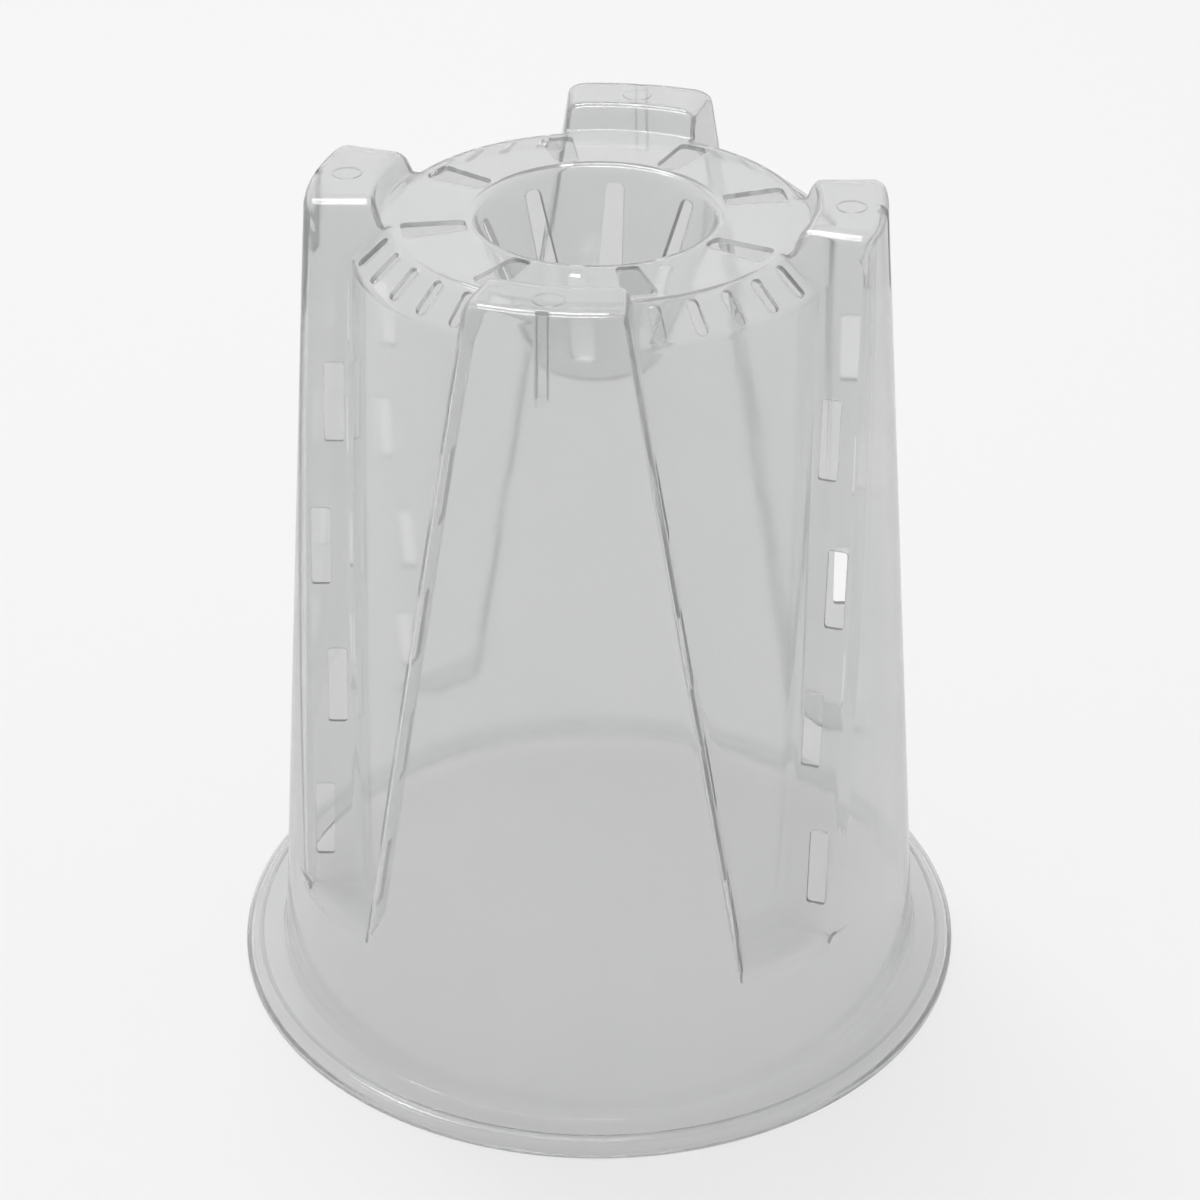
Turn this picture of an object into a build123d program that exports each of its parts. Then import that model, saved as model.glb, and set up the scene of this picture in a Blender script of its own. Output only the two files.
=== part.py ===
from build123d import *
from math import asin, atan2, cos, degrees, hypot, pi, radians, sin, tan
import os

# A clear slotted orchid pot: one thin tapered moulding with four hollow feet and a cone that lets air into
# the roots. It stands upside down, on its mouth rim, with its feet up. Sizes are in millimetres. The origin
# is the centre of the rim, +Z runs from the mouth to the feet, and -Y is the front.

# Wall
height = 168.7
wall_thickness = 1.0
wall_radius_at_rim = 66.5
wall_radius_at_foot_end = 53.7

# Rim flange
flange_width = 8.5
flange_top = 3.4
flange_thickness = 1.4
lip_thickness = 1.6
lip_round = 2.2

# Feet and the recesses between them
foot_count = 4
foot_width_at_end = 25.8
recess_width_at_ledge = 9.3
side_lean = 8.5  # degrees that the side walls of a foot turn in from its outer face
foot_end_depth = 12.7
foot_inner_draft = 1.4
recess_depth = 8.8
ledge_z = 30.6
corner_round = 2.2
end_sharper = 0.6  # how much less the edges of a foot end are rounded than its long corners

# Base
foot_rise = 4.7
bevel_width = 7.3
bevel_drop = 6.0

# Air cone
opening_radius = 22.3
cone_tip_radius = 11.7
cone_depth = 28.0

# Slots of the foot side walls, staggered to left and right up the wall
side_slot_count = 4
side_slot_width = 3.7
side_slot_height = 15.3
side_slot_corner = 0.6
side_slot_end_land = 30.4
side_slot_ledge_land = 6.6
side_slot_inner_land = 1.0
side_slot_outer_land = 1.8

# Slots of the base ring, wider towards the outside
base_slot_count = 8
base_slot_inner_width = 4.2
base_slot_outer_width = 6.6
base_slot_corner = 1.2
base_slot_inner_land = 1.6
base_slot_outer_land = 2.0

# Slots of the bevel, a row in each recess
bevel_slot_count = 5
bevel_slot_width = 2.2
bevel_slot_end_land = 1.1
bevel_slot_side_land = 4.0

# Slots of the air cone, wider towards the tip
cone_slot_count = 8
cone_slot_base_width = 3.4
cone_slot_tip_width = 4.7
cone_slot_corner = 1.0
cone_slot_base_land = 3.2
cone_slot_tip_land = 5.0

# Foot ends, with a shallow round mark on the inside and a groove down the outer face
end_mark_radius = 2.85
end_mark_depth = 0.4
groove_width = 2.4
groove_length = 15.8
groove_depth = 0.5

# How far a cutter reaches past what it cuts, and how near an edge lies to a surface that it belongs to
reach = 2.0
nearness = 0.2

rim_radius = wall_radius_at_rim + flange_width
flange_under = flange_top - flange_thickness
base_z = height - foot_rise
bevel_z = base_z - bevel_drop
tip_z = base_z - cone_depth
taper = (wall_radius_at_rim - wall_radius_at_foot_end) / (height - flange_top)
foot_inner_radius = wall_radius_at_foot_end - foot_end_depth


def wall_radius(z):
    """Radius of the outer wall at a height."""
    return wall_radius_at_rim - taper * (z - flange_top)


def recess_radius(z):
    """Radius of the set-back wall between the feet at a height."""
    return wall_radius(z) - recess_depth


corner_turn = pi / foot_count - asin(recess_width_at_ledge / 2 / recess_radius(ledge_z))
corner_along = recess_radius(ledge_z) * cos(corner_turn)
corner_across = recess_radius(ledge_z) * sin(corner_turn)
lean_slope = tan(radians(side_lean))


def foot_side(along, z, inset=0.0):
    """Half the width of a foot at a distance along it from the axis and a height.

    A foot's width at its end is taken as far along it as the recess's corner at the ledge.
    """
    share = (height - z) / (height - ledge_z)
    half_width = foot_width_at_end / 2 + share * (corner_across - foot_width_at_end / 2)
    return half_width + lean_slope * (along - corner_along) - inset / cos(radians(side_lean))


def side_meets(radius, z):
    """How far along a foot a round wall of that radius meets its side wall at a height."""
    start, steepness = foot_side(0, z), 1 + lean_slope**2
    return ((radius**2 * steepness - start**2) ** 0.5 - lean_slope * start) / steepness


def foot_inner(z):
    """Radius of the short wall on a foot's inner side at a height, from the base up."""
    return foot_inner_radius - foot_inner_draft * (height - z) / foot_rise


base_flat_radius = recess_radius(bevel_z) - bevel_width
bevel_length = hypot(bevel_width, bevel_drop)


def turned(points):
    """Solid made by turning an outline of radius and height points round the axis."""
    face = make_face(Polyline(*points, close=True))
    return revolve(Plane.XZ * face, Axis.Z)


def column(radius, low, high):
    """Round column on the axis between two heights."""
    return Pos(0, 0, low) * Cylinder(radius, high - low, align=(Align.CENTER, Align.CENTER, Align.MIN))


def around(shape, count, start=0.0):
    """Copies of a shape, evenly spaced round the axis."""
    return [Rot(0, 0, start + 360 / count * number) * shape for number in range(count)]


def recess_space(low, high, inset=0.0):
    """Space between the side walls of two neighbouring feet, where X and Y are positive."""
    sections = []
    for z in (low, high):
        corner = foot_side(0, z, inset) / (1 - lean_slope)
        side = foot_side(rim_radius, z, inset)
        outline = [(corner, corner), (rim_radius, side), (rim_radius, rim_radius), (side, rim_radius)]
        sections.append(Pos(0, 0, z) * make_face(Polyline(*outline, close=True)))
    return loft(sections, ruled=True)


def foot_space():
    """Space between the side walls of the foot on the +X side, from the ledge up."""
    sections = []
    for z in (ledge_z, height + reach):
        near, far = foot_side(0, z), foot_side(rim_radius, z)
        outline = [(0, -near), (rim_radius, -far), (rim_radius, far), (0, near)]
        sections.append(Pos(0, 0, z) * make_face(Polyline(*outline, close=True)))
    return loft(sections, ruled=True) - column(foot_inner(base_z), ledge_z, base_z)


def core_outline(inset):
    """Outline of the pot without its feet, moved inwards by the inset: set-back wall, bevel and base."""
    across, along = bevel_drop / bevel_length, bevel_width / bevel_length
    level = across * base_flat_radius + along * base_z - inset
    corner_z = (level - across * (recess_radius(0) - inset)) / (along - across * taper)
    top = base_z - inset
    return [
        (0, flange_under),
        (recess_radius(flange_under) - inset, flange_under),
        (recess_radius(corner_z) - inset, corner_z),
        ((level - along * top) / across, top),
        (0, top),
    ]


def skin(inset):
    """Solid inside the pot's outer surface, with that surface moved inwards by the inset."""
    top = height - inset
    low = base_z - inset
    above = height + reach
    body = turned(
        [
            (0, flange_under),
            (wall_radius(flange_under) - inset, flange_under),
            (wall_radius(top) - inset, top),
            (0, top),
        ]
    )
    recess = recess_space(ledge_z - inset, above, inset) - turned(core_outline(inset))
    body -= around(recess, foot_count)
    body -= turned(
        [(0, low), (foot_inner(base_z) + inset, low), (foot_inner(above) + inset, above), (0, above)]
    )
    body -= turned(
        [
            (0, tip_z - inset),
            (cone_tip_radius + inset, tip_z - inset),
            (opening_radius + inset, base_z),
            (0, base_z),
        ]
    )
    return rounded(body, inset)


def is_foot_corner(edge, inset):
    """Whether an edge is one of the long corners between a foot's outer face and a side wall."""
    middle = edge @ 0.5
    to_wall = hypot(middle.X, middle.Y) - wall_radius(middle.Z) + inset
    across, along = sorted((abs(middle.X), abs(middle.Y)))
    to_side = across - foot_side(along, middle.Z, inset)
    is_long = edge.bounding_box().size.Z > (height - ledge_z) / 2
    return is_long and abs(to_wall) < nearness and abs(to_side) < nearness


def rounded(body, inset):
    """Skin with the long corners of its feet rounded, and then the edges of the foot ends."""
    corner_radius = corner_round - inset
    end_radius = corner_radius - end_sharper
    if corner_radius > 0:
        body = fillet([edge for edge in body.edges() if is_foot_corner(edge, inset)], corner_radius)
    if end_radius > 0:
        body = fillet(body.edges().group_by(Axis.Z)[-1], end_radius)
    return body


def rim():
    """Flat flange round the wall, with a lip that is turned down and rounded on its outer edge."""
    outline = Polyline(
        (wall_radius(flange_top), flange_top),
        (wall_radius(flange_under), flange_under),
        (rim_radius - lip_thickness, flange_under),
        (rim_radius - lip_thickness, 0),
        (rim_radius, 0),
        (rim_radius, flange_top),
        close=True,
    )
    face = make_face(outline)
    outer_corner = face.vertices().sort_by(lambda corner: corner.X + corner.Y)[-1]
    face = fillet(outer_corner, lip_round)
    return revolve(Plane.XZ * face, Axis.Z)


def wedge_slot(near, far, near_width, far_width, corner):
    """Face of a slot along X that widens from its near end to its far end, with rounded corners."""
    outline = Polyline(
        (near, -near_width / 2),
        (far, -far_width / 2),
        (far, far_width / 2),
        (near, near_width / 2),
        close=True,
    )
    face = make_face(outline)
    return fillet(face.vertices(), corner)


def side_slots():
    """Cutters for the slots of both side walls of the foot on the +X side."""
    highest = height - side_slot_end_land - side_slot_height / 2
    lowest = ledge_z + side_slot_ledge_land + side_slot_height / 2
    pitch = (highest - lowest) / (side_slot_count - 1)
    cutters = []
    for number in range(side_slot_count):
        z = highest - number * pitch
        if number % 2 == 0:
            x = side_meets(recess_radius(z), z) + side_slot_inner_land + side_slot_width / 2
        else:
            x = side_meets(wall_radius(z), z) - side_slot_outer_land - side_slot_width / 2
        face = RectangleRounded(side_slot_width, side_slot_height, side_slot_corner)
        across = Plane((x, 0, z), (1, 0, 0), (0, -1, 0))
        through = foot_side(x, z - side_slot_height / 2) + reach
        cutters.append(extrude(across * face, through, both=True))
    return cutters


def foot():
    """Foot on the +X side: outer face, two slotted side walls, end and inner wall."""
    body = shell & foot_space()
    body -= side_slots()
    middle = wall_radius_at_foot_end - foot_end_depth / 2
    mark_top = height - wall_thickness + end_mark_depth
    body -= Pos(middle, 0, 0) * column(end_mark_radius, base_z, mark_top)
    lean = degrees(atan2(taper, 1))
    along_face = Pos(wall_radius_at_foot_end - groove_depth, 0, height) * Rot(0, -lean, 0)
    from_end = (Align.MIN, Align.CENTER, Align.MAX)
    groove = Box(groove_depth + reach, groove_width, groove_length + reach, align=from_end)
    return body - along_face * Pos(0, 0, reach) * groove


def recess_panel():
    """Set-back wall between two feet, from the ledge to the bevel, where X and Y are positive."""
    cone_zone = column(opening_radius + wall_thickness, ledge_z, bevel_z)
    return shell & (recess_space(ledge_z, bevel_z) - cone_zone)


def base_plate():
    """Flat ring round the air cone, with the bevel of each recess and their slots."""
    zone = column(foot_inner(base_z), bevel_z, base_z)
    zone += around(recess_space(bevel_z, height + reach), foot_count)
    zone -= column(opening_radius + wall_thickness, bevel_z - reach, height + reach)
    body = shell & zone
    slot = wedge_slot(
        opening_radius + base_slot_inner_land,
        base_flat_radius - base_slot_outer_land,
        base_slot_inner_width,
        base_slot_outer_width,
        base_slot_corner,
    )
    cutter = Pos(0, 0, base_z - wall_thickness - reach) * extrude(slot, wall_thickness + 2 * reach)
    body -= around(cutter, base_slot_count, 180 / base_slot_count)
    return body - bevel_slots()


def bevel_slots():
    """Cutters for the row of slots in the bevel of each recess."""
    middle_radius = base_flat_radius + bevel_width / 2
    middle_z = base_z - bevel_drop / 2
    half_turn = 180 / foot_count
    along = side_meets(middle_radius, middle_z)
    to_wall = half_turn - degrees(atan2(foot_side(along, middle_z), along))
    spread = to_wall - degrees(bevel_slot_side_land / middle_radius)
    pitch = 2 * spread / (bevel_slot_count - 1)
    face = SlotOverall(bevel_length - 2 * bevel_slot_end_land, bevel_slot_width)
    plane = Plane((middle_radius, 0, middle_z), (bevel_width, 0, -bevel_drop), (bevel_drop, 0, bevel_width))
    cutter = extrude(plane * face, wall_thickness + reach, both=True)
    row = [Rot(0, 0, half_turn - spread + number * pitch) * cutter for number in range(bevel_slot_count)]
    return [copy for slot in row for copy in around(slot, foot_count)]


def air_cone():
    """Cone from the base into the pot, closed at its tip, with slots in line with feet and recesses."""
    body = shell & column(opening_radius + wall_thickness, tip_z - reach, base_z)
    slot = wedge_slot(
        cone_slot_base_land - base_z,
        -cone_slot_tip_land - tip_z,
        cone_slot_base_width,
        cone_slot_tip_width,
        cone_slot_corner,
    )
    outline = Plane((0, 0, 0), (0, 0, -1), (1, 0, 0)) * slot
    cutter = extrude(outline, opening_radius + wall_thickness + reach)
    return body - around(cutter, cone_slot_count)


shell = skin(0.0) - skin(wall_thickness)
nodes = {
    "rim_flange": rim(),
    "mouth_band": shell & column(rim_radius, flange_under, ledge_z),
    "base_plate": base_plate(),
    "air_cone": air_cone(),
}
foot_names = ("foot_right", "foot_back", "foot_left", "foot_front")
for name, body in zip(foot_names, around(foot(), foot_count)):
    nodes[name] = body
panel_names = ("back_right", "back_left", "front_left", "front_right")
for name, body in zip(panel_names, around(recess_panel(), foot_count)):
    nodes["recess_panel_" + name] = body

os.makedirs("parts", exist_ok=True)
for name, body in nodes.items():
    export_step(body, "parts/" + name + ".step")
    print(name, len(body.solids()), round(body.volume, 1))
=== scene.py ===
from math import radians

import bpy
import numpy as np
from mathutils import Matrix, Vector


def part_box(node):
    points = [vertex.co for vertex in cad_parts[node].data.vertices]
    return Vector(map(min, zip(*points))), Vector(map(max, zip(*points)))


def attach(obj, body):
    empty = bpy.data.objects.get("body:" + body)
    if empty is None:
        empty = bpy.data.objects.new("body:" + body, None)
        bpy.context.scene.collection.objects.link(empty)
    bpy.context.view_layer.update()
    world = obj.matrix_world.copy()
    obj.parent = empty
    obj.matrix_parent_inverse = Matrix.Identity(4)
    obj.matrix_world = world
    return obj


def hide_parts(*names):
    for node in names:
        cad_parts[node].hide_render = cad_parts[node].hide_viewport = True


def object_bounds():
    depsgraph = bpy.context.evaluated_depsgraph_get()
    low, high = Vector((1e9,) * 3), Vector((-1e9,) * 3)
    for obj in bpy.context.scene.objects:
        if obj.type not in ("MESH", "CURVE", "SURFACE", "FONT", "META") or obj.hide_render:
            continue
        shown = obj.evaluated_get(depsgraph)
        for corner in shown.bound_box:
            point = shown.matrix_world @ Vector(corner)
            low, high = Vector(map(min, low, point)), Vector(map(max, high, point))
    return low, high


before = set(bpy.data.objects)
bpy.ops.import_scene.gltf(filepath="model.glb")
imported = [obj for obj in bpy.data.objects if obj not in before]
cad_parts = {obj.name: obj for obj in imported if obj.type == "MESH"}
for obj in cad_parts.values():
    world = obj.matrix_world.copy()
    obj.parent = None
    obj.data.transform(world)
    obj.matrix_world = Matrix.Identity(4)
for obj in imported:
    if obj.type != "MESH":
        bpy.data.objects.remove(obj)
cad_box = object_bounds()

# Air cone. The middle of the base is drawn down into the pot as a closed cone, with eight upright slots that
# let air into the roots. It is part of the one moulding, so its skin is a grid of points, welded to the rest:
# rows run from the middle of the tip outwards, and columns round the pot from the foot on +X.
MM = 0.001
TIP_RADIUS = 11.7
TIP_ROUND = 1.0
OPENING_RADIUS = 22.3
OPENING_ROUND = 2.0
OPENING_FOLD = 1.5
CONE_SLOT_LANDS = (3.2, 5.0)
CONE_SLOT_WIDTHS = (3.4, 4.7)
CONE_SLOT_CORNER = 1.0
WALL = 1.0
FOOT_CELLS = 13
RECESS_CELLS = 12
CELLS_TO_RECESS = FOOT_CELLS + RECESS_CELLS

base_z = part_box("base_plate")[1][2] / MM
tip_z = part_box("air_cone")[0][2] / MM + WALL
patches = []


def corner_arc(start, corner, end, cells):
    """Circular arc from start to end that touches both lines to the corner.

    The point at t is (a*start + b*w*corner + c*end) / (a + b*w + c), with a = (1 - t)^2, b = 2t(1 - t),
    c = t^2 and w the cosine of half the turn at the corner. Leading axes of the points are kept, and t runs
    along a new one.
    """
    start, corner, end = (np.asarray(p, float)[..., None, :] for p in (start, corner, end))
    into, out = corner - start, end - corner
    size = np.linalg.norm(into, axis=-1, keepdims=True) * np.linalg.norm(out, axis=-1, keepdims=True)
    turn = np.arccos(np.clip((into * out).sum(-1, keepdims=True) / np.maximum(size, 1e-12), -1, 1))
    w = np.cos(turn / 2)
    t = np.linspace(0, 1, cells + 1)[:, None]
    a, b, c = (1 - t) ** 2, 2 * t * (1 - t), t**2
    return (a * start + b * w * corner + c * end) / (a + b * w + c)


def rounded_path(corners, rounds, cells):
    """Points along straight runs whose corners are arcs of the given radii.

    Each arc starts and ends radius * tan(turn / 2) from its corner. Cells counts the steps of run, arc, run
    and so on.
    """
    corners = np.asarray(corners, float)
    legs = np.diff(corners, axis=0)
    legs /= np.linalg.norm(legs, axis=1, keepdims=True)
    turns = np.arccos(np.clip((legs[:-1] * legs[1:]).sum(1), -1, 1))
    cut = (np.asarray(rounds) * np.tan(turns / 2))[:, None]
    starts, ends = corners[1:-1] - legs[:-1] * cut, corners[1:-1] + legs[1:] * cut
    stops = [corners[0], *[p for pair in zip(starts, ends) for p in pair], corners[-1]]
    path = [corners[:1]]
    for step, count in enumerate(cells):
        if step % 2:
            points = corner_arc(stops[step], corners[(step + 1) // 2], stops[step + 1], count)
        else:
            points = np.linspace(stops[step], stops[step + 1], count + 1)
        path.append(points[1:])
    return np.concatenate(path)


def slot_outline(corners, radius, cells, arc_cells=2):
    """Closed outline round four rounded corners, with cells[k] steps from the middle of arc k to the next."""
    corners = np.asarray(corners, float)
    legs = np.roll(corners, -1, 0) - corners
    legs /= np.linalg.norm(legs, axis=1, keepdims=True)
    before = np.roll(legs, 1, 0)
    cut = (radius * np.tan(np.arccos((before * legs).sum(1)) / 2))[:, None]
    starts, ends = corners - before * cut, corners + legs * cut
    outline = []
    for k in range(4):
        arc = corner_arc(starts[k], corners[k], ends[k], 2 * arc_cells)
        straight = np.linspace(ends[k], starts[(k + 1) % 4], cells[k] - 2 * arc_cells + 1)
        outline += [arc[:-1], straight[:-1]]
    return np.roll(np.concatenate(outline), -arc_cells, 0)


def turned(half_azimuths, path):
    """Grid of a radius and height path turned round the axis, with each row's columns at its own azimuths.

    Half_azimuths holds, for each row, the azimuths from the middle of a foot to the middle of a recess.
    """
    half = np.broadcast_to(half_azimuths, (len(path), half_azimuths.shape[-1]))
    quarter = np.concatenate([half[:, :-1], np.pi / 2 - half[:, :0:-1]], 1)
    azimuth = np.concatenate([quarter + k * np.pi / 2 for k in range(4)], 1)
    radius, z = path[:, :1], path[:, 1:]
    return np.stack([radius * np.cos(azimuth), radius * np.sin(azimuth), z + 0 * azimuth], -1)


def add_grid(points, holes=()):
    """Adds a grid that closes on itself round the pot, without the blocks of cells where holes are cut."""
    rows, columns = points.shape[:2]
    keep = np.ones((rows - 1, columns), bool)
    for row_0, row_1, column_0, column_1 in holes:
        keep[row_0:row_1, np.arange(column_0, column_1) % columns] = False
    index = np.arange(rows * columns).reshape(rows, columns)
    right = np.roll(index, -1, 1)
    quads = np.stack([index[:-1], index[1:], right[1:], right[:-1]], -1)[keep]
    patches.append((points.reshape(-1, 3), quads))


def add_hole(points, hole, outline, settle, rings=2):
    """Fills a block of the grid with rings from its edge to a hole's outline, each settled on the surface."""
    row_0, row_1, column_0, column_1 = hole
    rows, columns = np.arange(row_0, row_1 + 1), np.arange(column_0, column_1 + 1) % points.shape[1]
    edge = np.concatenate([
        points[row_0, columns[:-1]], points[rows[:-1], columns[-1]],
        points[row_1, columns[:0:-1]], points[rows[:0:-1], columns[0]],
    ])
    share = np.linspace(0, 1, rings + 1)[:, None, None]
    loops = settle(edge * (1 - share) + outline * share)
    loops[0] = edge
    index = np.arange(loops.shape[0] * loops.shape[1]).reshape(loops.shape[:2])
    right = np.roll(index, -1, 1)
    quads = np.stack([index[:-1], index[1:], right[1:], right[:-1]], -1)
    patches.append((loops.reshape(-1, 3), quads.reshape(-1, 4)))


def spun(points, angle):
    """Points turned round the pot's axis."""
    c, s = np.cos(angle), np.sin(angle)
    x, y, z = np.moveaxis(points, -1, 0)
    return np.stack([c * x - s * y, s * x + c * y, z], -1)


def cone_radius(z):
    """Radius of the air cone's skin at a height."""
    return TIP_RADIUS + (OPENING_RADIUS - TIP_RADIUS) * (z - tip_z) / (base_z - tip_z)


def on_cone(points):
    """Points moved level onto the air cone, at their own azimuth."""
    x, y, z = np.moveaxis(points, -1, 0)
    scale = cone_radius(z) / np.hypot(x, y)
    return np.stack([x * scale, y * scale, z], -1)


even_azimuths = np.linspace(0, np.pi / 4, CELLS_TO_RECESS + 1)
cone_path = rounded_path(
    [(0, tip_z), (TIP_RADIUS, tip_z), (OPENING_RADIUS, base_z), (OPENING_RADIUS + OPENING_FOLD, base_z)],
    (TIP_ROUND, OPENING_ROUND),
    (3, 4, 14, 4, 1),
)
cone_grid = turned(even_azimuths, cone_path)
cone_rows = (8, 21)
cone_reach = 7
cone_holes = []
for middle in np.arange(8) * CELLS_TO_RECESS:
    cone_holes.append((*cone_rows, middle - cone_reach, middle + cone_reach))
add_grid(cone_grid, cone_holes)
low, high = tip_z + CONE_SLOT_LANDS[1], base_z - CONE_SLOT_LANDS[0]
narrow, wide = (width / 2 for width in CONE_SLOT_WIDTHS)
side, z = slot_outline(
    [(-wide, low), (wide, low), (narrow, high), (-narrow, high)],
    CONE_SLOT_CORNER,
    (2 * cone_reach, cone_rows[1] - cone_rows[0]) * 2,
).T
cone_slot = np.stack([np.sqrt(cone_radius(z) ** 2 - side**2), side, z], -1)
for k, hole in enumerate(cone_holes):
    add_hole(cone_grid, hole, spun(cone_slot, k * np.pi / 4), on_cone)

# Base ring. A flat ring round the cone, with eight slots that widen outwards between feet and recesses. It
# runs out to a circle just inside the bevel, where its columns stand as those of the feet and recesses do.
BEVEL_ROUND = 2.0
FOOT_END_WIDTH = 25.8
RECESS_WIDTH = 9.3
SIDE_LEAN = 8.5
BASE_SLOT_LANDS = (2.0, 2.0)
BASE_SLOT_WIDTHS = (4.2, 6.6)
BASE_SLOT_CORNER = 1.2
BEVEL_WIDTH = 7.3
RECESS_DEPTH = 8.8
GROOVE_WIDTH = 2.1
GROOVE_FLOOR, GROOVE_EDGE, GROOVE_FADE = 0.44, 0.56, 0.1  # shares of its width, from its middle line

height = cad_box[1][2] / MM
ledge_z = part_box("foot_right")[0][2] / MM
bevel_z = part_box("base_plate")[0][2] / MM
wall_at_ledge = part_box("foot_right")[1][0] / MM
mouth_low, mouth_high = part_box("mouth_band")
wall_taper = (mouth_high[0] / MM - wall_at_ledge) / (ledge_z - mouth_low[2] / MM)
groove_lines = GROOVE_WIDTH * np.array([
    0, GROOVE_FLOOR - GROOVE_FADE, GROOVE_FLOOR, GROOVE_EDGE, GROOVE_EDGE + GROOVE_FADE, 1.2, 2.2,
])


def wall_radius(z):
    """Radius of the outer wall at a height: a straight taper."""
    return wall_at_ledge - wall_taper * (z - ledge_z)


def recess_radius(z):
    """Radius of the set-back wall between the feet at a height."""
    return wall_radius(z) - RECESS_DEPTH


corner_turn = np.pi / 4 - np.arcsin(RECESS_WIDTH / 2 / recess_radius(ledge_z))
corner_along = recess_radius(ledge_z) * np.cos(corner_turn)
corner_across = recess_radius(ledge_z) * np.sin(corner_turn)
lean = np.tan(radians(SIDE_LEAN))


def foot_side(along, z):
    """Half the width of a foot at a distance along it from the axis and a height.

    It grows evenly from the foot's end to the ledge, and outwards with the lean of the side walls.
    """
    share = (height - z) / (height - ledge_z)
    return FOOT_END_WIDTH / 2 + share * (corner_across - FOOT_END_WIDTH / 2) + lean * (along - corner_along)


def side_meets(radius, z):
    """How far along a foot a circle of that radius meets its side wall at a height.

    It is the positive root of along^2 + foot_side^2 = radius^2.
    """
    start, steepness = foot_side(0, z), 1 + lean**2
    return (np.sqrt(radius**2 * steepness - start**2) - lean * start) / steepness


def foot_lines(edge):
    """Distances of the columns from a foot's middle: the lines of its groove, then even steps to the edge."""
    edge = np.asarray(edge, float)[..., None]
    share = np.linspace(0, 1, FOOT_CELLS - len(groove_lines) + 2)[1:]
    outer = groove_lines[-1] + (edge - groove_lines[-1]) * share
    return np.concatenate([np.broadcast_to(groove_lines, (*edge.shape[:-1], len(groove_lines))), outer], -1)


def recess_lines(edge):
    """Azimuths of the columns from a recess's edge to its middle, with close steps at each bevel slot."""
    edge = np.asarray(edge, float)[..., None]
    share = np.concatenate([np.linspace(0, 0.36, 5), np.linspace(0.46, 0.75, 5), np.linspace(0.86, 1, 3)])
    return edge + (np.pi / 4 - edge) * share[1:]


base_flat_radius = recess_radius(bevel_z) - BEVEL_WIDTH
start_radius = base_flat_radius - BEVEL_ROUND * np.tan(np.arctan2(base_z - bevel_z, BEVEL_WIDTH) / 2)
start_edge = foot_side(side_meets(start_radius, base_z), base_z)
start_azimuths = np.concatenate([
    np.arcsin(foot_lines(start_edge) / start_radius), recess_lines(np.arcsin(start_edge / start_radius)),
])
base_rows = 8
share = np.linspace(0, 1, base_rows + 1)[:, None]
base_radii = OPENING_RADIUS + OPENING_FOLD + (start_radius - OPENING_RADIUS - OPENING_FOLD) * share
base_grid = turned(
    even_azimuths * (1 - share) + start_azimuths * share, np.concatenate([base_radii, base_z + 0 * share], 1)
)
base_block = (8, 18)
base_holes = []
for turn in np.arange(4) * 2 * CELLS_TO_RECESS:
    next_foot = turn + 2 * CELLS_TO_RECESS
    base_holes.append((0, base_rows, turn + base_block[0], turn + base_block[1]))
    base_holes.append((0, base_rows, next_foot - base_block[1], next_foot - base_block[0]))
add_grid(base_grid, base_holes)
near, far = OPENING_RADIUS + BASE_SLOT_LANDS[0], base_flat_radius - BASE_SLOT_LANDS[1]
narrow, wide = (width / 2 for width in BASE_SLOT_WIDTHS)
base_slot = slot_outline(
    [(near, -narrow), (near, narrow), (far, wide), (far, -wide)],
    BASE_SLOT_CORNER,
    (base_block[1] - base_block[0], base_rows) * 2,
)
base_slot = np.concatenate([base_slot, np.full((len(base_slot), 1), base_z)], 1)
for k, hole in enumerate(base_holes):
    add_hole(base_grid, hole, spun(base_slot, (k + 0.5) * np.pi / 4), np.array)

# Feet and recesses. Four hollow feet run the length of the wall, with set-back panels between them. A foot
# has an end with a round mark, a grooved outer face and two side walls, each with four staggered slots. The
# panels bend over into a slotted bevel at the base and stop at a ledge above the mouth.
FOOT_END_DEPTH = 12.7
FOOT_INNER_DRAFT = 1.4
END_ROUND = 1.9
END_INNER_ROUND = 0.8
CORNER_CUT, FACE_SHARE = 1.6, 2.0  # where a fold starts on the side wall, and how much sooner on the face
INNER_CUT, RECESS_SHARE = 0.8, 2.2
BEVEL_CUT, BEVEL_FADE = 0.25, (5, 10)  # a tighter fold beside the bevel, and the rows over which it widens
MOST_CUT, MOST_RECESS_CUT = 0.42, 0.3  # shares of a side wall and of half a recess that a fold may take
LEDGE_ROUNDS = (1.6, 2.2)
GROOVE_LENGTH = 15.8
GROOVE_DEPTH = 0.7
GROOVE_RUN_OUT = (0.5, 0.2, 1.4)  # rows above and below the groove's lower end
END_MARK_RADIUS = 2.85
END_MARK_DEPTH = 0.4
END_MARK_EDGE = 0.1
SIDE_SLOT = (3.7, 15.3)
SIDE_SLOT_CORNER = 0.6
SIDE_SLOT_LANDS = (30.4, 6.6)
SIDE_SLOT_INSETS = (1.0, 1.8)
SIDE_SLOT_MARGIN = 1.5
BEVEL_SLOT_WIDTH = 2.2
BEVEL_SLOT_LAND = 1.1
BEVEL_SLOT_SIDE_LAND = 4.0
NEARLY_HALF = 0.499  # slot ends are round, just short of half circles
ARC_CELLS, WALL_CELLS, INNER_CELLS = 4, 6, 3
LEVEL_Z, LEDGE_TOP, BAND_TOP = 144.0, 33.0, 27.6  # heights where rows of feet and recesses are level
SHOULDER_DROP, BEVEL_RUN, LEDGE_CLEAR = 2.2, 1.5, 0.4
NEAR_START = 0.01  # gives the first run of the bevel's path a length

foot_end_radius = wall_radius(height)
foot_inner_radius = foot_end_radius - FOOT_END_DEPTH
shoulder_z = height - SHOULDER_DROP
bevel_low_z = bevel_z - BEVEL_RUN

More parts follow.
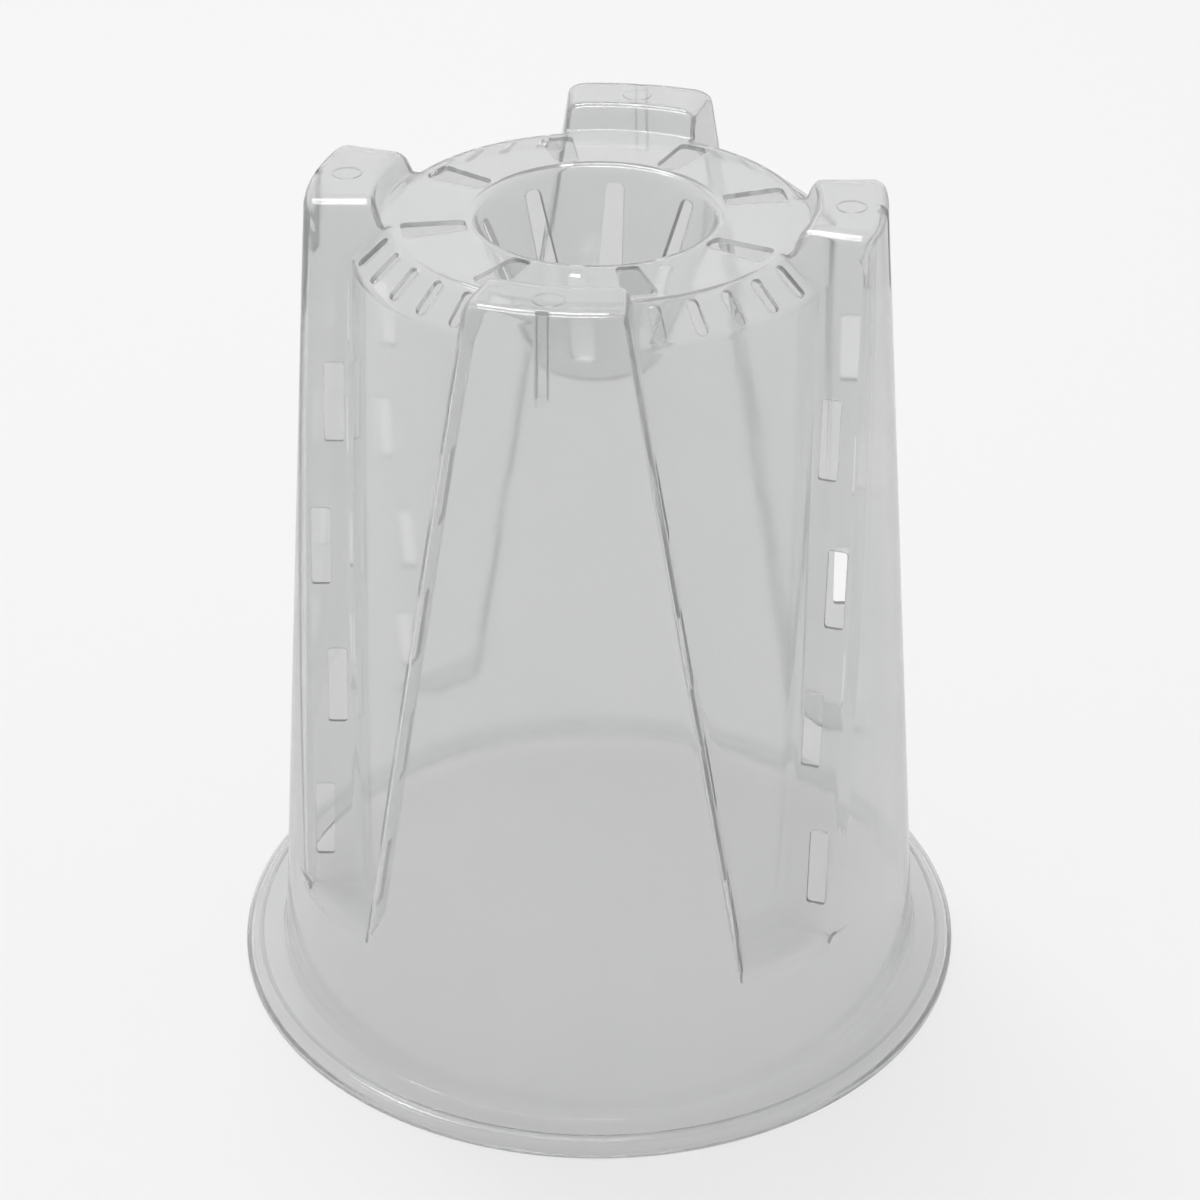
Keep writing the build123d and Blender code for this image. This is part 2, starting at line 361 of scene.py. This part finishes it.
# Rows of the feet and of the recesses, in step: over the foot end and down the bevel, down the side, and
# round the ledge.
end_path = rounded_path(
    [(start_radius, base_z), (foot_inner_radius - FOOT_INNER_DRAFT, base_z), (foot_inner_radius, height),
     (foot_end_radius, height), (wall_radius(shoulder_z), shoulder_z)],
    (END_INNER_ROUND, END_ROUND, END_ROUND),
    (3, 3, 1, 4, 8, 4, 1),
)
bevel_path = rounded_path(
    [(start_radius - NEAR_START, base_z), (base_flat_radius, base_z), (recess_radius(bevel_z), bevel_z),
     (recess_radius(bevel_low_z), bevel_low_z)],
    (BEVEL_ROUND, BEVEL_ROUND),
    (1, 4, 12, 4, 4),
)[1:]
end_rows, bevel_rows = (11, 19), (4, 16)
groove_z = height - GROOVE_LENGTH
run_above, run_below, run_end = GROOVE_RUN_OUT
shoulder_drop = np.concatenate([
    np.linspace(shoulder_z, groove_z + run_above, 7), [groove_z - run_below, groove_z - run_end, LEVEL_Z],
])
panel_drop = np.linspace(bevel_low_z, LEVEL_Z, len(shoulder_drop))
slot_top = height - SIDE_SLOT_LANDS[0] - SIDE_SLOT[1] / 2
slot_low = ledge_z + SIDE_SLOT_LANDS[1] + SIDE_SLOT[1] / 2
slot_heights = np.linspace(slot_top, slot_low, 4)
slot_reach = SIDE_SLOT[1] / 2 + SIDE_SLOT_MARGIN
block_cells, gap_cells = 6, 2
drop = [np.array([LEVEL_Z])]
side_blocks = []
first_row = len(end_path) + len(shoulder_drop) - 2
for z in slot_heights:
    drop.append(np.linspace(drop[-1][-1], z + slot_reach, gap_cells + 1)[1:])
    first_row += gap_cells
    side_blocks.append((first_row, first_row + block_cells))
    drop.append(np.linspace(z + slot_reach, z - slot_reach, block_cells + 1)[1:])
    first_row += block_cells
drop.append(np.linspace(drop[-1][-1], LEDGE_TOP, 3)[1:])
side_drop = np.concatenate(drop)
ledge_path = rounded_path(
    [(recess_radius(LEDGE_TOP), LEDGE_TOP), (recess_radius(ledge_z), ledge_z),
     (wall_radius(ledge_z), ledge_z), (wall_radius(BAND_TOP), BAND_TOP)],
    LEDGE_ROUNDS,
    (1, 4, 3, 3, 1),
)
over_ledge = ledge_z + LEDGE_CLEAR
ledge_drop = np.concatenate([np.linspace(LEDGE_TOP, over_ledge, 9), ledge_path[9:, 1]])
ledge_drop[9:-2] = np.linspace(over_ledge, ledge_drop[-2], len(ledge_drop) - 9)[1:-1]
foot_z = np.concatenate([shoulder_drop[1:], side_drop[1:], ledge_drop[1:]])
panel_z = np.concatenate([panel_drop[1:], side_drop[1:]])
foot_path = np.concatenate([end_path, np.stack([wall_radius(foot_z), foot_z], 1)])
recess_path = np.concatenate([bevel_path, np.stack([recess_radius(panel_z), panel_z], 1), ledge_path[1:]])


def at_side(path):
    """Points where a radius and height path, turned round the axis, meets the side wall of the foot on +X."""
    radius, z = path.T
    along = side_meets(radius, z)
    return np.stack([along, foot_side(along, z), z], 1)


foot_corner, recess_corner = at_side(foot_path), at_side(recess_path)
across = recess_corner - foot_corner
wall_width = np.linalg.norm(across, axis=1, keepdims=True)
across /= np.maximum(wall_width, 1e-9)
corner_cut = np.minimum(CORNER_CUT, MOST_CUT * wall_width)
row_number = np.arange(len(foot_path))[:, None]
below_bevel = np.clip((row_number - len(bevel_path) + BEVEL_FADE[0]) / BEVEL_FADE[1], 0, 1)
inner_cut = BEVEL_CUT + (INNER_CUT - BEVEL_CUT) * below_bevel
inner_cut = np.minimum(inner_cut, MOST_CUT * wall_width)
foot_radius, recess_row_radius = foot_path[:, :1], recess_path[:, :1]
face_cut = FACE_SHARE * corner_cut
foot_edge = foot_corner[:, 1:2] - face_cut * np.sqrt(1 - (foot_corner[:, 1:2] / foot_radius) ** 2)
foot_y = foot_lines(foot_edge[:, 0])
foot_points = np.stack([np.sqrt(foot_radius**2 - foot_y**2), foot_y, foot_path[:, 1:] + 0 * foot_y], -1)
corner_points = corner_arc(foot_points[:, -1], foot_corner, foot_corner + across * corner_cut, ARC_CELLS)
share = np.linspace(0, 1, WALL_CELLS + 1)[None, :, None]
wall_from, wall_to = corner_points[:, -1:], (recess_corner - across * inner_cut)[:, None]
wall_points = wall_from * (1 - share) + wall_to * share
corner_azimuth = np.arcsin(recess_corner[:, 1:2] / recess_row_radius)
recess_cut = RECESS_SHARE * inner_cut
to_middle = np.pi / 4 - corner_azimuth
recess_edge = corner_azimuth + np.minimum(recess_cut / recess_row_radius, MOST_RECESS_CUT * to_middle)
recess_azimuth = np.concatenate([recess_edge, recess_lines(recess_edge[:, 0])], 1)
recess_points = np.stack([
    recess_row_radius * np.cos(recess_azimuth), recess_row_radius * np.sin(recess_azimuth),
    recess_path[:, 1:] + 0 * recess_azimuth,
], -1)
inner_points = corner_arc(wall_points[:, -1], recess_corner, recess_points[:, 0], INNER_CELLS)

half_sector = np.concatenate(
    [foot_points, corner_points[:, 1:], wall_points[:, 1:], inner_points[:, 1:], recess_points[:, 1:]], 1
)
mirrored = half_sector[:, :0:-1][..., [1, 0, 2]]
quarter = np.concatenate([half_sector[:, :-1], mirrored], 1)
feet_grid = np.concatenate([spun(quarter, k * np.pi / 2) for k in range(4)], 1)
quarter_cells = quarter.shape[1]
half_cells = quarter_cells // 2


def on_bevel(points):
    """Points moved level onto the bevel, at their own azimuth."""
    x, y, z = np.moveaxis(points, -1, 0)
    radius = base_flat_radius + (base_z - z) * BEVEL_WIDTH / (base_z - bevel_z)
    scale = radius / np.hypot(x, y)
    return np.stack([x * scale, y * scale, z], -1)


holes = []
end_flat = end_path[end_rows[0]:end_rows[1] + 1, 0]
mark_middle = (end_flat[0] + end_flat[-1]) / 2
mark_reach = len(groove_lines) - 1
loop_cells = 2 * (2 * mark_reach + end_rows[1] - end_rows[0])
loop_start = np.arctan2(-groove_lines[-1], end_flat[0] - mark_middle)
loop_angle = loop_start - 2 * np.pi * np.arange(loop_cells) / loop_cells
mark_radii = np.array([END_MARK_RADIUS, END_MARK_RADIUS - END_MARK_EDGE, END_MARK_RADIUS / 2, 0])[:, None]
mark_disc = np.stack([
    mark_middle + mark_radii * np.cos(loop_angle), mark_radii * np.sin(loop_angle),
    np.full((len(mark_radii), loop_cells), height),
], -1)
for k in range(4):
    hole = (*end_rows, k * quarter_cells - mark_reach, k * quarter_cells + mark_reach)
    holes.append((hole, spun(mark_disc[0], k * np.pi / 2), np.array))
    add_grid(spun(mark_disc, k * np.pi / 2))

wall_columns = (FOOT_CELLS + ARC_CELLS, FOOT_CELLS + ARC_CELLS + WALL_CELLS)
for number, z in enumerate(slot_heights):
    if number % 2 == 0:
        middle = side_meets(recess_radius(z), z) + SIDE_SLOT_INSETS[0] + SIDE_SLOT[0] / 2
    else:
        middle = side_meets(wall_radius(z), z) - SIDE_SLOT_INSETS[1] - SIDE_SLOT[0] / 2
    out, into = middle + SIDE_SLOT[0] / 2, middle - SIDE_SLOT[0] / 2
    top, bottom = z + SIDE_SLOT[1] / 2, z - SIDE_SLOT[1] / 2
    x, slot_z = slot_outline(
        [(out, top), (into, top), (into, bottom), (out, bottom)],
        SIDE_SLOT_CORNER,
        (WALL_CELLS, block_cells) * 2,
    ).T
    side_slot = np.stack([x, foot_side(x, slot_z), slot_z], -1)
    loop_turn = WALL_CELLS + 1
    mirror_slot = np.roll(side_slot[::-1][..., [1, 0, 2]], loop_turn, 0)
    for k in range(4):
        turn = k * quarter_cells
        hole = (*side_blocks[number], turn + wall_columns[0], turn + wall_columns[1])
        holes.append((hole, spun(side_slot, k * np.pi / 2), np.array))
        mirror_columns = (turn + quarter_cells - wall_columns[1], turn + quarter_cells - wall_columns[0])
        holes.append(((*side_blocks[number], *mirror_columns), spun(mirror_slot, k * np.pi / 2), np.array))

bevel_length = np.hypot(BEVEL_WIDTH, base_z - bevel_z)
bevel_middle = base_flat_radius + BEVEL_WIDTH / 2
bevel_middle_z = (base_z + bevel_z) / 2
along = side_meets(bevel_middle, bevel_middle_z)
to_wall = np.pi / 4 - np.arctan2(foot_side(along, bevel_middle_z), along)
spread = to_wall - BEVEL_SLOT_SIDE_LAND / bevel_middle
half, near, far = BEVEL_SLOT_WIDTH / 2, BEVEL_SLOT_LAND, bevel_length - BEVEL_SLOT_LAND
side, down = slot_outline(
    [(-half, near), (half, near), (half, far), (-half, far)],
    NEARLY_HALF * BEVEL_SLOT_WIDTH,
    (4, bevel_rows[1] - bevel_rows[0]) * 2,
).T
share = down / bevel_length
bevel_slot = np.stack([base_flat_radius + share * BEVEL_WIDTH, side, base_z - share * (base_z - bevel_z)], -1)
recess_start = half_cells - RECESS_CELLS
slot_columns = [recess_start + 2, recess_start + 7, half_cells, half_cells + 5, half_cells + 10]
for k in range(4):
    for number, column in enumerate(slot_columns):
        hole = (*bevel_rows, k * quarter_cells + column - 2, k * quarter_cells + column + 2)
        azimuth = (k + 0.5) * np.pi / 2 + (number - 2) * spread / 2
        holes.append((hole, spun(bevel_slot, azimuth), on_bevel))

add_grid(feet_grid, [hole for hole, outline, settle in holes])
for hole, outline, settle in holes:
    add_hole(feet_grid, hole, outline, settle)

# Mouth band and rim. Below the ledges the wall is a plain cone that turns out into a flat flange, with a low
# step to a lip that is rounded over and turned down. The pot stands on the lip's edge.
FLANGE_ROUND = 1.8
LIP_ROUND = 2.2
LIP_STEP = (72.2, 0.35)
STEP_ROUND = 0.25
BAND_CELLS = 8

rim_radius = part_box("rim_flange")[1][0] / MM
flange_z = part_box("rim_flange")[1][2] / MM
step_radius, step_drop = LIP_STEP
lip_z = flange_z - step_drop
rim_path = rounded_path(
    [(wall_radius(BAND_TOP), BAND_TOP), (wall_radius(flange_z), flange_z),
     (step_radius - step_drop / 2, flange_z), (step_radius + step_drop / 2, lip_z), (rim_radius, lip_z),
     (rim_radius, 0)],
    (FLANGE_ROUND, STEP_ROUND, STEP_ROUND, LIP_ROUND),
    (BAND_CELLS, 6, 2, 2, 1, 2, 1, 6, 2),
)
ledge_half = np.concatenate([foot_points[-1, :, 1], recess_points[-1, 1:, 1]])
ledge_azimuths = np.arcsin(np.clip(ledge_half / wall_radius(BAND_TOP), -1, 1))
ledge_azimuths[FOOT_CELLS + 1:] = recess_azimuth[-1, 1:]
share = np.clip(np.arange(len(rim_path)) / BAND_CELLS, 0, 1)[:, None]
rim_grid = turned(ledge_azimuths * (1 - share) + even_azimuths * share, rim_path)
add_grid(rim_grid)

# Thickness and plastic. The skins are welded into one, as the pot is one shot of polypropylene, and the wall
# is laid inside them. Slot edges are barely broken, as a moulding tool leaves them.
FLANGE_THICKNESS = 1.4
FLANGE_REACH = 0.3
EDGE_BREAK, EDGE_TURN = 0.12, 75.0
WELD = 0.002


def welded(parts):
    """One skin from several: points nearer than the weld distance become one, and flat cells are dropped."""
    points = np.concatenate([p for p, quads in parts])
    starts = np.cumsum([0] + [len(p) for p, quads in parts[:-1]])
    quads = np.concatenate([quads + start for (p, quads), start in zip(parts, starts)])
    cells = np.round(points / WELD).astype(np.int64)
    first, index = np.unique(cells, axis=0, return_index=True, return_inverse=True)[1:]
    quads = index.reshape(-1)[quads]
    same = quads == np.roll(quads, -1, 1)
    whole = quads[~same.any(1) & (quads[:, 0] != quads[:, 2]) & (quads[:, 1] != quads[:, 3])]
    thirds = np.concatenate([np.roll(quads[same[:, k] & (same.sum(1) == 1)], -k, 1)[:, 1:] for k in range(4)])
    used, index = np.unique(np.concatenate([whole.ravel(), thirds.ravel()]), return_inverse=True)
    return points[first][used], index[:whole.size].reshape(-1, 4), index[whole.size:].reshape(-1, 3)


points, quads, triangles = welded(patches)
mesh = bpy.data.meshes.new("pot_moulding")
mesh.from_pydata((points * MM).tolist(), [], quads.tolist() + triangles.tolist())
mesh.update()
mesh.shade_smooth()
pot = bpy.data.objects.new("pot_moulding", mesh)
bpy.context.collection.objects.link(pot)
thickness = pot.vertex_groups.new(name="thickness")
on_rim = points[:, 2] < flange_z + FLANGE_REACH
thickness.add(np.flatnonzero(on_rim).tolist(), 1.0, "REPLACE")
thickness.add(np.flatnonzero(~on_rim).tolist(), WALL / FLANGE_THICKNESS, "REPLACE")
from_axes = np.sort(np.abs(points[:, :2]), 1)
in_mark = np.hypot(from_axes[:, 0], from_axes[:, 1] - mark_middle) < END_MARK_RADIUS - END_MARK_EDGE / 2
in_mark &= points[:, 2] > height - WELD
thickness.add(np.flatnonzero(in_mark).tolist(), (WALL - END_MARK_DEPTH) / FLANGE_THICKNESS, "REPLACE")
solid = pot.modifiers.new("wall", "SOLIDIFY")
solid.thickness = FLANGE_THICKNESS * MM
solid.offset = -1
solid.vertex_group = "thickness"

# The groove down the outer face of each foot is pressed straight in through the wall, with steep sides. Its
# edges get painted shade: the plastic's colour is darkened there in place of the dark lines that light draws.
GROOVE_TOP = 0.5

# Painted shade mask: 1 along the groove's edges, where the base colour is darkened below
painted_groove_shade = np.zeros(len(points))
for k, (axis, inward) in enumerate((("X", -1), ("Y", -1), ("X", 1), ("Y", 1))):
    x, side, z = spun(points, -k * np.pi / 2).T
    on_face = x > foot_end_radius - END_ROUND
    from_line = np.abs(side) / GROOVE_WIDTH
    across_groove = np.clip((GROOVE_EDGE - from_line) / (GROOVE_EDGE - GROOVE_FLOOR), 0, 1)
    along_groove = np.clip((z - groove_z + run_below) / (run_above + run_below), 0, 1)
    along_groove *= np.clip((height - z) / GROOVE_TOP, 0, 1)
    share = np.round(across_groove * along_groove * on_face, 3)
    groove = pot.vertex_groups.new(name=f"groove_{k + 1}")
    for level in np.unique(share[share > 0]):
        groove.add(np.flatnonzero(share == level).tolist(), float(level), "REPLACE")
    press = pot.modifiers.new(groove.name, "DISPLACE")
    press.vertex_group = groove.name
    press.direction = axis
    press.mid_level = 0
    press.strength = inward * GROOVE_DEPTH * MM
    beside = np.minimum(from_line - GROOVE_FLOOR, GROOVE_EDGE - from_line) + GROOVE_FADE
    painted_groove_shade = np.maximum(painted_groove_shade, np.clip(beside / GROOVE_FADE, 0, 1) * along_groove * on_face)
mesh.attributes.new("painted_groove_shade", "FLOAT", "POINT").data.foreach_set("value", painted_groove_shade)

edge = pot.modifiers.new("edges", "BEVEL")
edge.width = EDGE_BREAK * MM
edge.segments = 2
edge.limit_method = "ANGLE"
edge.angle_limit = radians(EDGE_TURN)
edge.harden_normals = True


def linear(colour):
    """Linear red, green and blue of an sRGB hex colour."""
    srgb = np.array([int(colour[k:k + 2], 16) for k in (1, 3, 5)]) / 255
    return tuple(np.where(srgb <= 0.04045, srgb / 12.92, ((srgb + 0.055) / 1.055) ** 2.4).tolist())


def node(tree, kind, links=(), **settings):
    """Adds a node, sets its properties and inputs by name, and links its inputs from other nodes' outputs."""
    made = tree.nodes.new(kind)
    for name, value in settings.items():
        if hasattr(made, name):
            setattr(made, name, value)
        else:
            made.inputs[name.replace("_", " ").strip()].default_value = value
    for name, source in dict(links).items():
        tree.links.new(source, made.inputs[name])
    return made


# Clear polypropylene straight from a polished tool: glassy, a little milky right through, with slow ripples
# where the melt cooled and a fine satin that comes and goes, so that what is behind it stays legible.
HAZE = 0.16
SATIN_ROUGHNESS = (0.06, 0.1)
REFRACTIVE_INDEX = 1.49
RIPPLE_SIZE, RIPPLE_HEIGHT = 14.0, 0.012
SATIN_SIZE, SATIN_HEIGHT = 0.7, 0.0012
CLOUD_SIZE = 22.0

clear = bpy.data.materials.new("clear_polypropylene_moulded")
clear.use_nodes = True
tree = clear.node_tree
shader = tree.nodes["Principled BSDF"]
shader.inputs["Transmission Weight"].default_value = 1 - HAZE
shader.inputs["IOR"].default_value = REFRACTIVE_INDEX
place = node(tree, "ShaderNodeTexCoord").outputs["Object"]
cloud = node(
    tree, "ShaderNodeTexNoise", {"Vector": place}, Scale=1 / (CLOUD_SIZE * MM), Detail=3.0, Roughness=0.55
).outputs["Fac"]
satin_level = node(
    tree, "ShaderNodeMapRange", {"Value": cloud}, From_Min=0.3, From_Max=0.7, To_Min=SATIN_ROUGHNESS[0],
    To_Max=SATIN_ROUGHNESS[1],
).outputs["Result"]
milk = node(tree, "ShaderNodeValToRGB", {"Fac": cloud})
milk.color_ramp.elements[0].color = (*linear("#FEFEFE"), 1)
milk.color_ramp.elements[1].color = (*linear("#FCFDFD"), 1)
ripple = node(
    tree, "ShaderNodeTexNoise", {"Vector": place}, Scale=1 / (RIPPLE_SIZE * MM), Detail=1.0, Roughness=0.4
).outputs["Fac"]
satin = node(
    tree, "ShaderNodeTexNoise", {"Vector": place}, Scale=1 / (SATIN_SIZE * MM), Detail=2.0, Roughness=0.5
).outputs["Fac"]
rippled = node(tree, "ShaderNodeBump", {"Height": ripple}, Strength=1.0, Distance=RIPPLE_HEIGHT * MM)
finished = node(
    tree, "ShaderNodeBump", {"Height": satin, "Normal": rippled.outputs["Normal"]}, Strength=1.0,
    Distance=SATIN_HEIGHT * MM,
)
# Painted shade: the base colour is mixed towards a darker grey along the groove's edges
groove_shade_mask = node(tree, "ShaderNodeAttribute", attribute_name="painted_groove_shade").outputs["Fac"]
shade_painted_colour = node(tree, "ShaderNodeMix", {0: groove_shade_mask, 6: milk.outputs["Color"]}, data_type="RGBA")
shade_painted_colour.inputs[7].default_value = (*linear("#D0D2D2"), 1)
tree.links.new(shade_painted_colour.outputs[2], shader.inputs["Base Color"])
tree.links.new(satin_level, shader.inputs["Roughness"])
tree.links.new(finished.outputs["Normal"], shader.inputs["Normal"])
mesh.materials.append(clear)
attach(pot, "root")
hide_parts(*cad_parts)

# Floor, light and camera. A plain pale floor under soft light, seen from where the photograph was taken, with
# the lens that fits the rim, the base circles and the corners of the feet in it.
FLOOR_SIZE, FLOOR_GAP = 6.0, 0.0001
CAMERA_AZIMUTH, CAMERA_BACK, CAMERA_UP = 10.0, 492.8, 382.7
CAMERA_TURN, CAMERA_DOWN, CAMERA_ROLL = 9.95, 31.57, 0.22
FOCAL_PIXELS, PICTURE_PIXELS = 2895.0, 1200.0
SENSOR = 36.0

floor_mesh = bpy.data.meshes.new("floor")
reach = FLOOR_SIZE / 2
floor_mesh.from_pydata(
    [(x, y, -FLOOR_GAP) for x, y in ((-reach, -reach), (reach, -reach), (reach, reach), (-reach, reach))],
    [], [(0, 1, 2, 3)],
)
floor = bpy.data.objects.new("floor", floor_mesh)
bpy.context.collection.objects.link(floor)

# Pale matt paper. The eye meets it as white round the pot, and as the grey that the photograph shows inside
# the mouth and through the plastic.
PAPER_SEEN, GLOW_SEEN = 1.0, 0.7
PAPER_THROUGH, GLOW_THROUGH = 0.82, 0.5

paper = bpy.data.materials.new("pale_matt_paper")
paper.use_nodes = True
tree = paper.node_tree
matt = tree.nodes["Principled BSDF"]
matt.inputs["Base Color"].default_value = (*linear("#D5D5D5"), 1)
matt.inputs["Roughness"].default_value = 0.9
rays = node(tree, "ShaderNodeLightPath").outputs
# Painted shade: inside the mouth's circle the paper is drawn darker, with less glow at the through level,
# where the pot's shade falls
spot = node(tree, "ShaderNodeTexCoord").outputs["Object"]
from_middle = node(tree, "ShaderNodeVectorMath", {0: spot}, operation="LENGTH").outputs["Value"]
outside_mouth_shade = node(tree, "ShaderNodeMath", {0: from_middle}, operation="GREATER_THAN")
outside_mouth_shade.inputs[1].default_value = (rim_radius - FLANGE_THICKNESS) * MM
seen = node(
    tree, "ShaderNodeMath", {0: rays["Is Camera Ray"], 1: outside_mouth_shade.outputs[0]}, operation="MULTIPLY"
).outputs[0]
through = node(
    tree, "ShaderNodeMath", {0: rays["Is Glossy Ray"], 1: rays["Is Transmission Ray"]}, operation="MAXIMUM"
).outputs[0]
through = node(tree, "ShaderNodeMath", {0: through, 1: rays["Is Camera Ray"]}, operation="MAXIMUM").outputs[0]
share = node(
    tree, "ShaderNodeMapRange", {"Value": through}, To_Min=0.0, To_Max=GLOW_THROUGH
).outputs["Result"]
share = node(tree, "ShaderNodeMapRange", {"Value": seen, "To Min": share}, To_Max=GLOW_SEEN).outputs["Result"]
level = node(
    tree, "ShaderNodeMapRange", {"Value": seen}, To_Min=PAPER_THROUGH, To_Max=PAPER_SEEN
).outputs["Result"]
glow = node(tree, "ShaderNodeEmission", {"Strength": level}).outputs["Emission"]
mixed = node(tree, "ShaderNodeMixShader", {0: share, 1: matt.outputs["BSDF"], 2: glow}).outputs["Shader"]
tree.links.new(mixed, tree.nodes["Material Output"].inputs["Surface"])
paper.cycles.emission_sampling = "NONE"
floor_mesh.materials.append(paper)

# The room is a little brighter behind the pot than behind the camera, which draws the plastic's edges.
ROOM_FRONT, ROOM_BACK = 0.55, 0.7
SOFTBOX_SIZE, SOFTBOX_POWER = (0.7, 0.5), 11.0
SOFTBOX_PLACE, SOFTBOX_TILT = (-0.3, 0.5, 1.4), (-20.0, -12.0, 0.0)

world = bpy.data.worlds.new("studio")
world.use_nodes = True
sky = world.node_tree
direction = node(sky, "ShaderNodeTexCoord").outputs["Generated"]
backward = node(sky, "ShaderNodeSeparateXYZ", {"Vector": direction}).outputs["Y"]
level = node(
    sky, "ShaderNodeMapRange", {"Value": backward}, From_Min=-1.0, From_Max=1.0, To_Min=ROOM_FRONT,
    To_Max=ROOM_BACK,
).outputs["Result"]
sky.links.new(level, sky.nodes["Background"].inputs["Strength"])
sky.nodes["Background"].inputs["Color"].default_value = (1, 1, 1, 1)
bpy.context.scene.world = world

lamp = bpy.data.lights.new("overhead_softbox", "AREA")
lamp.shape = "RECTANGLE"
lamp.size, lamp.size_y = SOFTBOX_SIZE
lamp.energy = SOFTBOX_POWER
softbox = bpy.data.objects.new("overhead_softbox", lamp)
softbox.location = SOFTBOX_PLACE
softbox.rotation_euler = [radians(angle) for angle in SOFTBOX_TILT]
bpy.context.collection.objects.link(softbox)

camera = bpy.data.cameras.new("camera")
camera.sensor_width = SENSOR
camera.lens = SENSOR * FOCAL_PIXELS / PICTURE_PIXELS
camera.clip_start = 0.01
viewer = bpy.data.objects.new("camera", camera)
bpy.context.collection.objects.link(viewer)
around = radians(CAMERA_AZIMUTH)
viewpoint = np.array([CAMERA_BACK * np.sin(around), -CAMERA_BACK * np.cos(around), CAMERA_UP]) * MM
viewer.matrix_world = (
    Matrix.Translation(viewpoint.tolist())
    @ Matrix.Rotation(radians(CAMERA_TURN), 4, "Z")
    @ Matrix.Rotation(radians(90 - CAMERA_DOWN), 4, "X")
    @ Matrix.Rotation(radians(-CAMERA_ROLL), 4, "Z")
)
bpy.context.scene.camera = viewer
bpy.context.scene.view_settings.view_transform = "Standard"
bpy.context.scene.cycles.max_bounces = 40
bpy.context.scene.cycles.transmission_bounces = 40
bpy.context.scene.cycles.glossy_bounces = 24
bpy.context.scene.cycles.diffuse_bounces = 20
